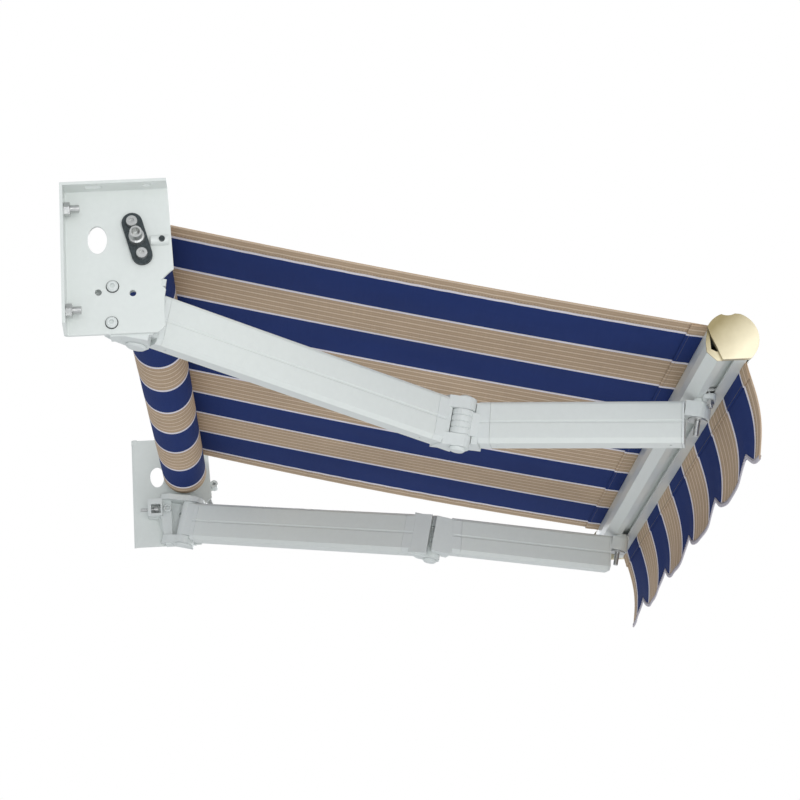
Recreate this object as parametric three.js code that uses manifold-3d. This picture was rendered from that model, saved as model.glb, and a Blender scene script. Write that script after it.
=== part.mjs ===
// Folding-arm canvas awning, open. Millimetres, +Z up, the roller along X, the awning reaching out along -Y.
// The wall face is Y = 0. "out" is a distance from the wall and "down" a distance below the plate tops.
import * as THREE from "three";
import { mergeVertices } from "three/addons/utils/BufferGeometryUtils.js";
import Module from "manifold-3d";

const wasm = await Module();
wasm.setup();
const { Manifold } = wasm;

// Driving dimensions
const HALF_SPAN = 616; // outer face of each side plate
const PLATE_T = 4;
const PLATE_H = 200;
const FLANGE = 27;
const AXIS = [96.5, 73.5]; // roller axis, out and down
const PITCH = (13.7 * Math.PI) / 180;
const TUBE_R = 35;
const ROLL_R = 39.5;
const TUBE_HALF = 598;
const CLOTH_HALF = 582;
const BAR = [859, 241.7]; // centre of the front bar, out and down
const BAR_R = 34.5;
const CAP_R = 35.5;
const VALANCE_DROP = 137;
const SCALLOP = 28;
const REPEAT = 240;
const ARM_T = 34;
const UPPER_H = 67;
const FORE_H = 60;
const SHOULDER = [-580, 23.8]; // pivots of the left arm in the canopy plane, across and along
const ELBOW = [-360, 459];
const WRIST = [-414, 775.8];
const ELBOW_OFFSET = 19; // pivot to the centre line of both arms
const UPPER_N = -90; // heights along the canopy normal
const FORE_N = [-87, -47];
const EYE_N = [-40, -18];
const GAP = 0.3;

const WHITE = 0xd9dcd9;
const CAST = 0xe0e3e0;
const STEEL = 0x9da1a3;
const DARK = 0x4b5254;
const GOLD = 0xd8c98e;
const BLUE = 0x1c3a6e;

const X = new THREE.Vector3(1, 0, 0);
const Y = new THREE.Vector3(0, 1, 0);
const Z = new THREE.Vector3(0, 0, 1);
const ALONG = new THREE.Vector3(0, -Math.cos(PITCH), -Math.sin(PITCH));
const NORMAL = new THREE.Vector3(0, -Math.sin(PITCH), Math.cos(PITCH));

// A point from its X, its distance out of the wall and its distance below the plate tops.
const at = (x, out, down) => new THREE.Vector3(x, -out, PLATE_H / 2 - down);
const CENTRE = at(0, ...AXIS);
// A point in the canopy frame: across, along the canopy from the roller axis, and along its normal.
const tilt = (x, s, n) =>
  CENTRE.clone().addScaledVector(X, x).addScaledVector(ALONG, s).addScaledVector(NORMAL, n);
// Distance below the plate tops of the plane at height n, where it is a given distance out.
const downAt = (out, n) =>
  AXIS[1] + ((out - AXIS[0]) * Math.sin(PITCH) - n) / Math.cos(PITCH);

// A closed geometry as a solid, turned to face outwards.
function solid(geometry) {
  const g = geometry.clone();
  g.deleteAttribute("normal");
  g.deleteAttribute("uv");
  const merged = mergeVertices(g, 1e-4);
  const make = (flip) => {
    const triVerts = new Uint32Array(merged.index.array);
    if (flip)
      for (let i = 0; i < triVerts.length; i += 3)
        [triVerts[i + 1], triVerts[i + 2]] = [triVerts[i + 2], triVerts[i + 1]];
    return new Manifold(
      new wasm.Mesh({ numProp: 3, vertProperties: merged.attributes.position.array, triVerts }),
    );
  };
  const made = make(false);
  return made.volume() < 0 ? make(true) : made;
}

const frame = (origin, u, w) =>
  new THREE.Matrix4().makeBasis(u, w.clone().cross(u), w).setPosition(origin);

// A closed outline, pushed along w for a depth. u is the direction of the outline's first coordinate.
function prism(outline, depth, origin, u, w, segments = 6) {
  const shape = outline instanceof THREE.Shape
    ? outline
    : new THREE.Shape(outline.map(([a, b]) => new THREE.Vector2(a, b)));
  const options = { depth, bevelEnabled: false, curveSegments: segments };
  const geometry = new THREE.ExtrudeGeometry(shape, options);
  return solid(geometry.applyMatrix4(frame(origin, u, w)));
}

// A plate standing across X, from x0 to x1, its outline in out and down.
const plate = (outline, x0, x1) =>
  prism(outline.map(([out, down]) => [-out, PLATE_H / 2 - down]), x1 - x0, at(x0, 0, PLATE_H / 2), Y, X);

// A turned piece: pairs of radius and distance along the axis, closed back to the start.
function turned(profile, origin, axis, segments = 24) {
  const points = [...profile, profile[0]].map(([r, z]) => new THREE.Vector2(r, z));
  const geometry = new THREE.LatheGeometry(points, segments);
  const side = Math.abs(axis.x) > 0.9 ? Y : X;
  const u = side.clone().addScaledVector(axis, -side.dot(axis)).normalize();
  const basis = new THREE.Matrix4().makeBasis(u, axis, u.clone().cross(axis)).setPosition(origin);
  return solid(geometry.applyMatrix4(basis));
}

const rod = (r, a, b, origin, axis, segments = 24) =>
  turned([[0, a], [r, a], [r, b], [0, b]], origin, axis, segments);

function roundedRect(w, h, r, cx = 0, cy = 0) {
  const s = new THREE.Shape();
  const [x, y] = [cx - w / 2, cy - h / 2];
  s.moveTo(x + r, y).lineTo(x + w - r, y).quadraticCurveTo(x + w, y, x + w, y + r);
  s.lineTo(x + w, y + h - r).quadraticCurveTo(x + w, y + h, x + w - r, y + h);
  s.lineTo(x + r, y + h).quadraticCurveTo(x, y + h, x, y + h - r);
  s.lineTo(x, y + r).quadraticCurveTo(x, y, x + r, y);
  return s;
}

const arc = (cx, cy, rx, ry, from, to, steps) =>
  Array.from({ length: steps + 1 }, (_, i) => {
    const t = ((from + ((to - from) * i) / steps) * Math.PI) / 180;
    return [cx + rx * Math.cos(t), cy + ry * Math.sin(t)];
  });

const hexagon = (r) => arc(0, 0, r, r, 0, 300, 5);
const join = (...parts) => Manifold.union(parts);
const cut = (from, ...tools) => from.subtract(Manifold.union(tools));

const group = new THREE.Group();
let section = group;

// The pieces that follow stand in a group of their own, placed at a point.
function startSection(name, origin = new THREE.Vector3()) {
  section = new THREE.Group();
  section.name = name;
  section.position.copy(origin);
  group.add(section);
}

function add(name, body, color, metalness = 0.2, roughness = 0.5) {
  const mesh = body.getMesh();
  const geometry = new THREE.BufferGeometry();
  const positions = new Float32Array(mesh.vertProperties);
  geometry.setAttribute("position", new THREE.BufferAttribute(positions, 3));
  geometry.setIndex(new THREE.BufferAttribute(new Uint32Array(mesh.triVerts), 1));
  const flat = geometry.toNonIndexed();
  flat.computeBoundingBox();
  const centre = flat.boundingBox.getCenter(new THREE.Vector3());
  flat.translate(-centre.x, -centre.y, -centre.z);
  flat.computeVertexNormals();
  const material = new THREE.MeshStandardMaterial({ color, metalness, roughness });
  const made = new THREE.Mesh(flat, material);
  made.name = name;
  made.position.copy(centre).sub(section.position);
  section.add(made);
}

// The left piece and its mirror image on the right.
function pair(name, body, ...look) {
  add(`${name}_left`, body, ...look);
  add(`${name}_right`, body.mirror([1, 0, 0]), ...look);
}

// Side plates: one folded sheet each, with a wall flange and a top flange turned outwards.
const INNER = HALF_SPAN - PLATE_T;
const FLANGE_X = -HALF_SPAN - FLANGE / 2 - 1;
const BEND = [
  ...arc(-618, 6, 6, 6, 0, -90, 5),
  [-HALF_SPAN - FLANGE, 0],
  [-HALF_SPAN - FLANGE, PLATE_T],
  ...arc(-618, 6, 2, 2, -90, 0, 3),
  [-HALF_SPAN, 10],
  [-INNER, 10],
];
const PLATE = [
  [6, 8], [8, 6], [137.7, 6], [142, 115], [136, 119.5], [126, 129], [126, 137], [131, 142.5],
  [128.5, 156], [128.5, 192], [120, 200], [6, 200],
];
const SLANT = [[-HALF_SPAN - FLANGE - 1, 190.6], [-HALF_SPAN, 201], [-HALF_SPAN - FLANGE - 1, 201]];
const BEARING = [5.85, 22.1]; // axis to each bearing screw, out and down
const screwSpot = (sign, x) => at(x, AXIS[0] + sign * BEARING[0], AXIS[1] + sign * BEARING[1]);
const STUD_DOWN = [33, 171];
const SHOULDER_SCREWS = [[63, 136.2], [60.7, 185]];
const SPARE_HOLES = [[44.6, 143.3], [88.8, 146]];

function sidePlate(bearing) {
  const wallBend = prism(BEND.map(([x, y]) => [x, -y]), PLATE_H, at(0, 0, PLATE_H), X, Z);
  const topBend = prism(BEND, 137.7, at(0, 137.7, 0), X, Y);
  const slant = prism(
    SLANT.map(([x, down]) => [x, PLATE_H / 2 - down]), 12, at(0, -1, PLATE_H / 2), X, Y.clone().negate(),
  );
  const holes = [
    prism(arc(-45, 28.5, 12.5, 19, 0, 345, 23), 10, at(-INNER - 7, 0, PLATE_H / 2), Y, X),
    rod(bearing ? 10.3 : 12, -8, 8, at(-INNER, ...AXIS), X),
    ...[...SPARE_HOLES, ...SHOULDER_SCREWS].map((spot) => rod(4.4, -8, 8, at(-INNER, ...spot), X, 20)),
    ...STUD_DOWN.map((down) => rod(5.4, -2, 8, at(FLANGE_X, -1, down), Y.clone().negate(), 16)),
    rod(3.5, -2, 8, at(FLANGE_X, -1, 18.4), Y.clone().negate(), 20),
    prism(roundedRect(9, 22, 4.4, FLANGE_X, -43), 12, at(0, 0, 8), X, Z),
    prism(roundedRect(9, 11, 4.4, FLANGE_X, -112), 12, at(0, 0, 8), X, Z),
    slant,
  ];
  if (bearing)
    for (const sign of [-1, 1]) holes.push(rod(4.4, -8, 8, screwSpot(sign, -INNER), X, 20));
  return cut(join(plate(PLATE, -HALF_SPAN, -INNER), wallBend, topBend), ...holes);
}
startSection("side_plates");
add("side_plate_left", sidePlate(true), WHITE);
add("side_plate_right", sidePlate(false).mirror([1, 0, 0]), WHITE);

// Wall studs with their nuts.
for (const [i, label] of ["upper", "lower"].entries()) {
  const foot = at(FLANGE_X, 0, STUD_DOWN[i]);
  const outward = Y.clone().negate();
  pair(`wall_stud_${label}`, rod(5, 0.4, 24, foot, outward, 16), STEEL, 0.8, 0.35);
  const nut = prism(hexagon(9.2), 8, foot.clone().addScaledVector(outward, PLATE_T + GAP), X, outward);
  pair(`wall_nut_${label}`, cut(nut, rod(5.3, 0, 20, foot, outward, 16)), STEEL, 0.8, 0.35);
}

// Roller: a tube with an end plug at each side, the wound cloth, and its bearings.
startSection("roller", CENTRE);
const left = -TUBE_HALF;
const tube = turned(
  [[TUBE_R - 1.5, -TUBE_HALF], [TUBE_R, -TUBE_HALF], [TUBE_R, TUBE_HALF], [TUBE_R - 1.5, TUBE_HALF]],
  CENTRE, X, 64,
);
const axleGroove = rod(2.2, -TUBE_HALF - 1, TUBE_HALF + 1, CENTRE.clone().addScaledVector(Z, -TUBE_R), X, 12);
add("roller_tube", cut(tube, axleGroove), STEEL, 0.7, 0.4);
add("fabric_roll", turned(
  [[TUBE_R + GAP, -CLOTH_HALF], [ROLL_R, -CLOTH_HALF], [ROLL_R, CLOTH_HALF], [TUBE_R + GAP, CLOTH_HALF]],
  CENTRE, X, 64,
), BLUE, 0, 0.9);

const plugBody = [
  [26, left + 38], [26, left + 6], [0, left + 6], [0, left - 3.3], [TUBE_R, left - 3.3],
  [TUBE_R, left - GAP], [31.4, left - GAP], [31.4, left + 38],
];
const plug = turned(plugBody, CENTRE, X, 48);
add("roller_plug_left", join(plug, rod(6, -614, left - 3, CENTRE, X, 24)), CAST, 0.3, 0.5);
const squarePin = prism(roundedRect(12, 12, 1), 24, CENTRE.clone().addScaledVector(X, -624), Y, X);
add("roller_plug_right", join(plug, squarePin).mirror([1, 0, 0]), CAST, 0.3, 0.5);

const oblong = (r, x0, x1) => {
  const tip = (Math.atan2(-BEARING[1], -BEARING[0]) * 180) / Math.PI;
  const end = (sign, from) =>
    arc(-AXIS[0] - sign * BEARING[0], PLATE_H / 2 - AXIS[1] - sign * BEARING[1], r, r, from, from + 180, 10);
  return prism([...end(1, tip - 90), ...end(-1, tip + 90)], x1 - x0, at(x0, 0, PLATE_H / 2), Y, X);
};
const studBore = rod(10.3, -20, 20, at(-HALF_SPAN, ...AXIS), X);
add("bearing_plate_left", cut(
  oblong(13.5, -HALF_SPAN - 5.3, -HALF_SPAN - GAP), studBore,
  ...[-1, 1].map((sign) => rod(4.4, -9, 9, screwSpot(sign, -HALF_SPAN), X, 20)),
), DARK, 0.6, 0.5);
add("bearing_stud_left", turned([
  [0, -632], [5.5, -632], [5.5, -647], [7.8, -647], [7.8, -633], [10, -632], [10, -606.5],
  [6.3, -606.5], [6.3, -617], [0, -617],
], CENTRE, X), STEEL, 0.8, 0.35);
for (const [sign, label] of [[-1, "upper"], [1, "lower"]]) {
  const head = -HALF_SPAN - 5.6;
  const spot = screwSpot(sign, 0);
  const screw = turned(
    [[0, head - 7.5], [6.6, head - 7.5], [7.2, head - 6.8], [7.2, head], [4, head], [4, -608.5], [0, -608.5]],
    spot, X, 20,
  );
  const socket = prism(hexagon(3.6), 4.6, spot.clone().setX(head - 8.2), Y, X);
  add(`bearing_screw_${label}`, cut(screw, socket), STEEL, 0.8, 0.35);
}

// Cover lug: a half-round ridge near the front edge with a slotted screw.
const lugSpot = [128.5, 76];
const ridge = rod(6.6, 114, 137, at(-617.5, 0, lugSpot[1]), Y.clone().negate(), 24);
const outside = plate([[100, 60], [141, 60], [141, 90], [100, 90]], -640, -HALF_SPAN - GAP);
const lugHole = rod(4.1, -20, 20, at(-622, ...lugSpot), X, 20);
add("cover_lug_left", cut(ridge.intersect(outside), lugHole), WHITE);
const slotLine = new THREE.Vector3(0, 0.7, 0.714).normalize();
const slot = prism([[-5, -0.7], [5, -0.7], [5, 0.7], [-5, 0.7]], 3, at(-627, ...lugSpot), slotLine, X);
add("cover_screw_left", cut(rod(3.8, -3.4, 5.6, at(-622, ...lugSpot), X, 20), slot), DARK, 0.7, 0.4);

// Gearbox on the outer face of the right plate, with its crank eye. Built on the left and mirrored.
startSection("gearbox", at(HALF_SPAN, ...AXIS));
const EYE = new THREE.Vector3(0, -0.36, -0.933).normalize();
const eyeFoot = at(-640, 130, 97);
const boxOutline = roundedRect(62, 68, 12, -AXIS[0], PLATE_H / 2 - AXIS[1]);
const box = prism(boxOutline, 36, at(-652.3, 0, PLATE_H / 2), Y, X);
const nose = rod(10.5, -20, 8, eyeFoot, EYE, 28);
const lug = join(
  rod(6.8, -14, -HALF_SPAN - GAP + 630, at(-630, 147, 88), X, 24),
  plate([[120, 76], [147, 81.5], [147, 94.5], [120, 100]], -640, -630),
);
const gearHousing = cut(
  join(box, nose, lug),
  rod(2.8, -30, 30, at(-630, 147, 88), X, 16),
  rod(5.3, -12, 20, eyeFoot, EYE, 24),
  rod(8.6, -628, -610, CENTRE, X),
);
add("gearbox_right", gearHousing.mirror([1, 0, 0]), WHITE);
const ring = solid(new THREE.TorusGeometry(13, 4, 8, 24).applyMatrix4(
  frame(eyeFoot.clone().addScaledVector(EYE, 74), Y.clone(), X.clone()),
));
const eye = join(rod(5, -11.5, 62, eyeFoot, EYE, 24), rod(7.5, 8.5, 13, eyeFoot, EYE, 24), ring);
add("crank_eye_right", eye.mirror([1, 0, 0]), STEEL, 0.8, 0.35);

// Shoulder brackets: castings bolted to the inner faces of the plates.
startSection("shoulders");
const pivot = (spot, n = 0) => tilt(spot[0], spot[1], n);
const UPPER_EAR = [UPPER_N + 36, UPPER_N + 45.5]; // heights of the two ears
const LOWER_EAR = [UPPER_N - 40, UPPER_N - 27];
const ROOT = -INNER + GAP - SHOULDER[0]; // the plate's inner face, seen from the pivot
const ear = (outline, [low, high]) =>
  prism(outline.map(([x, s]) => [x, -s]), high - low, tilt(...SHOULDER, low), X, NORMAL);
const bracketBody = join(
  plate([
    [28, 119], [106, 119], [121, 127], [121, 150], [112, 202], [58, 202], [46, 152], [28, 150],
  ], -INNER + GAP, -603),
  plate([[46, 119], [70, 119], [70, 202], [58, 202]], -INNER + GAP, -590),
  plate([[28, 119], [54, 119], [54, 150], [28, 150]], -INNER + GAP, -580),
  ear([[ROOT, -60], [-12, -58], [6, -42], ...arc(0, 0, 21, 21, -50, 90, 7), [ROOT, 24]], UPPER_EAR),
  ear([[ROOT, -42], [-14, -40], [-2, -30], ...arc(0, 0, 17, 17, -60, 90, 7), [ROOT, 17]], LOWER_EAR),
);
const pocket = plate([[34, 129], [51, 129], [51, 146], [34, 146]], -596, -570);
const bracket = cut(
  bracketBody, pocket,
  rod(6.3, UPPER_N - 90, UPPER_N + 90, pivot(SHOULDER), NORMAL),
  rod(3.4, 10, 52, at(-588, 0, 137.5), Y.clone().negate(), 20),
  ...SPARE_HOLES.map((spot) => rod(6, -8, 11, at(-INNER, ...spot), X, 14)),
  rod(4.4, -30, 30, at(-605, ...SHOULDER_SCREWS[0]), X, 20),
  rod(4.4, -30, 10, at(-605, ...SHOULDER_SCREWS[1]), X, 20),
);
pair("shoulder_bracket", bracket, CAST, 0.3, 0.55);
for (const [i, label] of ["upper", "lower"].entries()) {
  const spot = at(0, ...SHOULDER_SCREWS[i]);
  const head = -HALF_SPAN - GAP;
  const tip = i ? -596 : -588.5;
  const screw = turned([
    [0, head - 5], [5.2, head - 5], [7.4, head - 2.6], [7.4, head], [4, head], [4, tip], [0, tip],
  ], spot, X, 20);
  const socket = prism(hexagon(3.4), 4, spot.clone().setX(head - 6), Y, X);
  pair(`shoulder_screw_${label}`, cut(screw, socket), CAST, 0.5, 0.45);
}
const nutSpot = at(0, ...SHOULDER_SCREWS[0]);
pair("shoulder_nut", turned([[4.3, -589.7], [7.6, -589.7], [7.6, -586.2], [6.4, -584.4], [4.3, -584.4]],
  nutSpot, X, 24), CAST, 0.5, 0.45);
pair("adjusting_screw", join(
  rod(3, 15, 46, at(-588, 0, 137.5), Y.clone().negate(), 20),
  rod(5.4, 40, 46.5, at(-588, 0, 137.5), Y.clone().negate(), 24),
), STEEL, 0.7, 0.4);
const lowHead = LOWER_EAR[0] - GAP;
pair("shoulder_pin", turned([
  [0, UPPER_EAR[1] - 1], [6, UPPER_EAR[1] - 1], [6, lowHead], [14, lowHead], [14, lowHead - 1.6],
  [11.5, lowHead - 3.6], [0, lowHead - 3.6],
], pivot(SHOULDER), NORMAL), CAST, 0.4, 0.5);

startSection("arms");

// Arms. Each has its own frame: d along the arm, b to its inner side, and the canopy normal.
const flat = (x, s) => X.clone().multiplyScalar(x).addScaledVector(ALONG, s);
function armFrame(from, to) {
  const d = flat(to[0] - from[0], to[1] - from[1]).normalize();
  return { d, b: NORMAL.clone().cross(d) };
}
const upperLine = armFrame(SHOULDER, ELBOW);
const foreLine = armFrame(ELBOW, WRIST);
const shift = (spot, dir, by) => [spot[0] + dir.dot(X) * by, spot[1] + dir.dot(ALONG) * by];
const upperEnd = shift(ELBOW, upperLine.b, ELBOW_OFFSET);
const foreStart = shift(ELBOW, foreLine.b, ELBOW_OFFSET);
const upper = armFrame(SHOULDER, upperEnd);
const fore = armFrame(foreStart, WRIST);
const upperLength = Math.hypot(upperEnd[0] - SHOULDER[0], upperEnd[1] - SHOULDER[1]);
const foreLength = Math.hypot(WRIST[0] - foreStart[0], WRIST[1] - foreStart[1]);
const END = 40; // profile end to elbow pivot

// The hollow arm profile, with a shallow groove along both faces and a bevelled lower edge.
function armSection(height, wall) {
  const [w, h] = [ARM_T / 2, height / 2];
  const outline = [
    [-w + 5, -h], [w - 5, -h], [w, -h + 6.5], [w, -2.2], [w - 0.9, -1], [w - 0.9, 1], [w, 2.2], [w, h - 5],
    [w - 1.5, h - 1.5], [w - 5, h], [-w + 5, h], [-w + 1.5, h - 1.5], [-w, h - 5], [-w, 2.2], [-w + 0.9, 1],
    [-w + 0.9, -1], [-w, -2.2], [-w, -h + 6.5],
  ];
  const shape = new THREE.Shape(outline.map(([x, y]) => new THREE.Vector2(x, y)));
  if (wall) {
    const inside = roundedRect(ARM_T - 2 * wall, height - 2 * wall, 6);
    shape.holes.push(new THREE.Path(inside.getPoints(3).slice(0, -1)));
  }
  return shape;
}
const WALL = 2.6;
const insert = (height) => roundedRect(ARM_T - 2 * WALL - 0.8, height - 2 * WALL - 0.8, 6.2);

// Points of an outline in an arm's own plane, around a pivot: a disc joined to a block on the arm.
function eyeOutline(r, from, [lo, hi], toward) {
  return [...arc(0, 0, r, r, 90, -90, 10).map(([u, v]) => [toward * u, v]), [from, lo], [from, hi]];
}

// Upper arm
const upperHeight = (spot) => tilt(spot[0], spot[1], UPPER_N);
const alongUpper = (by) => upperHeight(SHOULDER).addScaledVector(upper.d, by);
const foreLift = (FORE_N[1] - FORE_N[0]) / foreLength;
const foreDir = fore.d.clone().addScaledVector(NORMAL, foreLift).normalize();
const alongFore = (by) =>
  tilt(foreStart[0], foreStart[1], FORE_N[0]).addScaledVector(foreDir, by);
const foreTrue = Math.hypot(foreLength, FORE_N[1] - FORE_N[0]);
const SHOULDER_END = 28;
const PIN_INSET = 12; // roll pin holes, from each end of a profile
const pinHole = (spot, height) => rod(1.9, -height / 2 - 2, -height / 2 + 6, spot, NORMAL, 8);
pair("upper_arm", cut(
  prism(
    armSection(UPPER_H, WALL), upperLength - END - SHOULDER_END, alongUpper(SHOULDER_END), upper.b, upper.d,
  ),
  pinHole(alongUpper(SHOULDER_END + PIN_INSET), UPPER_H),
  pinHole(alongUpper(upperLength - END - PIN_INSET), UPPER_H),
), WHITE, 0.25, 0.45);
pair("shoulder_fitting", cut(
  join(
    rod(15, LOWER_EAR[1] + 0.5, UPPER_EAR[0] - 0.5, tilt(...SHOULDER, 0), NORMAL, 28),
    prism(eyeOutline(14.2, SHOULDER_END - 7, [-16.4, 16.4], -1), 57.5, tilt(...SHOULDER, LOWER_EAR[1] + 0.5),
      upper.d, NORMAL),
    prism(armSection(UPPER_H), 8, alongUpper(SHOULDER_END - GAP - 8), upper.b, upper.d),
    prism(insert(UPPER_H), 34, alongUpper(SHOULDER_END - 4), upper.b, upper.d),
  ),
  rod(6.3, -50, 50, upperHeight(SHOULDER), NORMAL),
), CAST, 0.3, 0.5);

const EAR_N = 18.5; // half the clear height between the elbow ears
const elbowAt = tilt(ELBOW[0], ELBOW[1], UPPER_N);
const forkBlock = prism(
  armSection(UPPER_H), END - 22 - GAP, alongUpper(upperLength - END + GAP), upper.b, upper.d,
);
const centreB = upperLine.b.dot(upper.b) * ELBOW_OFFSET;
const openAngle = Math.acos(upper.d.dot(fore.d));
const lean = (Math.PI - openAngle) / 2; // bisector of the outer side, from each arm's own line
const ELBOW_GAP = 4; // half the gap between the castings there
const outerFace = ELBOW_OFFSET + 16.6;
// The part of an elbow casting that reaches round the outer side, up to the gap.
function outerCorner(sign, side, from) {
  const onGap = (r) => [
    r * Math.cos(lean) - ELBOW_GAP * Math.sin(lean), r * Math.sin(lean) + ELBOW_GAP * Math.cos(lean),
  ];
  const far = (outerFace - ELBOW_GAP * Math.cos(lean)) / Math.sin(lean);
  const outline = [[-from, 2.4], [0, 2.4], onGap(17), onGap(far), [-from, outerFace]];
  return outline.map(([u, b]) => [sign * u, side * b]);
}
const earOutline = eyeOutline(16, -24, [centreB - 16.6, centreB + 16.6], 1);
const forkCorner = cut(
  prism(
    outerCorner(1, Math.sign(centreB), 24), UPPER_H, tilt(...ELBOW, UPPER_N - UPPER_H / 2), upper.d, NORMAL,
  ),
  rod(16.9, -EAR_N, EAR_N, elbowAt, NORMAL),
);
pair("elbow_fork", cut(
  join(
    forkCorner,
    forkBlock,
    prism(insert(UPPER_H), 34, alongUpper(upperLength - END - 30), upper.b, upper.d),
    prism(earOutline, 35.8 - EAR_N, tilt(...ELBOW, UPPER_N + EAR_N), upper.d, NORMAL),
    prism(earOutline, 35.8 - EAR_N, tilt(...ELBOW, UPPER_N - 35.8), upper.d, NORMAL),
  ),
  rod(6.3, -50, 50, elbowAt, NORMAL),
), CAST, 0.3, 0.5);
pair("elbow_pin", turned([
  [0, 39.5], [8, 39.5], [9.5, 38], [9.5, 36.1], [6, 36.1], [6, -36.1], [11.5, -36.1], [11.5, -38.6], [9, -41],
  [0, -41],
], elbowAt, NORMAL), CAST, 0.4, 0.5);

// Forearm
const ribs = [];
for (let i = 0; i < 4; i++) {
  const z = -18.1 + i * 9.05;
  ribs.push([14.2, z], [15.6, z + 1.2], [15.6, z + 7.85], [14.2, z + 9.05]);
}
const foreB = foreLine.b.dot(fore.b) * ELBOW_OFFSET;
const knuckleOutline = eyeOutline(13.5, 26, [foreB - 15.5, foreB + 13], -1);
const kneeCorner = cut(
  prism(
    outerCorner(-1, Math.sign(foreB), 26), FORE_H, tilt(...ELBOW, FORE_N[0] - FORE_H / 2), fore.d, NORMAL,
  ),
  rod(17, -50, 50, elbowAt, NORMAL),
);
pair("elbow_knuckle", cut(
  join(
    kneeCorner,
    turned([[0, -18.1], ...ribs, [0, 18.1]], elbowAt, NORMAL, 18),
    prism(knuckleOutline, 34, tilt(...ELBOW, UPPER_N - 17), fore.d, NORMAL),
    prism(armSection(FORE_H), END - 24 - GAP, alongFore(24), fore.b, foreDir),
    prism(insert(FORE_H), 34, alongFore(END - 6), fore.b, foreDir),
  ),
  rod(6.4, -50, 50, elbowAt, NORMAL),
), CAST, 0.3, 0.5);
const WRIST_END = 20;
pair("forearm", cut(
  prism(armSection(FORE_H, WALL), foreTrue - END - WRIST_END, alongFore(END), fore.b, foreDir),
  pinHole(alongFore(END + PIN_INSET), FORE_H),
  pinHole(alongFore(foreTrue - WRIST_END - PIN_INSET), FORE_H),
), WHITE, 0.25, 0.45);
const wristAt = (n) => tilt(WRIST[0], WRIST[1], n);
const wristOutline = eyeOutline(16, -WRIST_END + 2.5, [-15.5, 15.5], 1);
const wristFitting = (bore) => cut(
  join(
    prism(wristOutline, EYE_N[1] - EYE_N[0], wristAt(EYE_N[0]), fore.d, NORMAL),
    prism(armSection(FORE_H), 3.2, alongFore(foreTrue - WRIST_END + GAP), fore.b, foreDir),
    prism(insert(FORE_H), 34, alongFore(foreTrue - WRIST_END - 32), fore.b, foreDir),
  ),
  rod(bore, -90, 20, wristAt(0), NORMAL, 28),
);
add("wrist_fitting_left", wristFitting(4.4), CAST, 0.3, 0.5);
// The right eye is bored wide: the linkage is opened here.
add("wrist_fitting_right", wristFitting(10).mirror([1, 0, 0]), CAST, 0.3, 0.5);

// Front bar, as a section in p (outwards) and q (up) from its centre, pushed along X.
startSection("front_bar", at(0, ...BAR));
const bar = (outline, x0, x1) =>
  prism(outline.map(([p, q]) => [-p, q]), x1 - x0, at(x0, ...BAR), Y, X);
const barDisc = (r, p, q, x0, x1) => rod(r, x0, x1, at(0, BAR[0] + p, BAR[1] - q), X, 20);
// The round outline with a shallow hollow on top, a flat below and a chamfered rear foot.
const barOutline = (r, flatQ) => [
  ...arc(0, 0, r, r, -52, 67, 24), ...arc(-2, r + 8, 15.4, 12, -55, -125, 6), ...arc(0, 0, r, r, 113, 136, 5),
  [-r + 5, 14], [-r + 1.5, -2], [-r + 1.5, -15], [-r + 14, flatQ],
];
const HEM = [-19.5, 24]; // bead grooves of the cloth and of the valance
const SKIRT = [20, -22];
const cloth = { p: -Math.cos(PITCH), q: Math.sin(PITCH) };
const groove = (spot, dir, half) => {
  const [a, b] = [dir[0] * 30, dir[1] * 30];
  const [u, v] = [-dir[1] * half, dir[0] * half];
  return [
    [spot[0] + u, spot[1] + v], [spot[0] + a + u, spot[1] + b + v], [spot[0] + a - u, spot[1] + b - v],
    [spot[0] - u, spot[1] - v],
  ];
};
const barCut = [-TUBE_HALF - 1, TUBE_HALF + 1];
add("front_bar", cut(
  bar(barOutline(BAR_R, -27), -TUBE_HALF, TUBE_HALF),
  bar([...arc(0, 0, 31.5, 31.5, -22, 58, 12), [10, 26.5], [-9, 26.5], [-11, 12], [-28.5, 8], [-28.5, -12],
    [-21, -16], [13, -16]], ...barCut),
  bar([[-14.6, -24.6], [6.6, -24.6], [6.6, -18.6], [-14.6, -18.6]], ...barCut),
  bar([[-10, -30], [2, -30], [2, -24], [-10, -24]], ...barCut),
  barDisc(3.8, ...HEM, ...barCut), bar(groove(HEM, [cloth.p, cloth.q], 1.3), ...barCut),
  barDisc(3.4, ...SKIRT, ...barCut), bar(groove(SKIRT, [0, -1], 1.3), ...barCut),
), WHITE, 0.3, 0.45);

// End caps: a polished disc over an open rear corner.
const capX = -TUBE_HALF - GAP;
const capRim = cut(
  bar(barOutline(CAP_R, -28), capX - 2.2, capX),
  bar([[-28, 7.5], [-22.5, -7.5], [-19.5, -15.2], [-21, -15.6], [-28, -11.6]], capX - 3, capX + 1),
);
const capFace = bar([
  ...arc(0, 0, CAP_R, CAP_R, -52, 67, 28), ...arc(-2, CAP_R + 8, 15.4, 12, -55, -125, 6),
  ...arc(0, 0, CAP_R, CAP_R, 113, 150, 6), [-27, 4], [-21, -11], [-15, -28],
], capX - 7.5, capX - 2);
pair("end_cap", join(capRim, capFace), GOLD, 0.95, 0.2);

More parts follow.
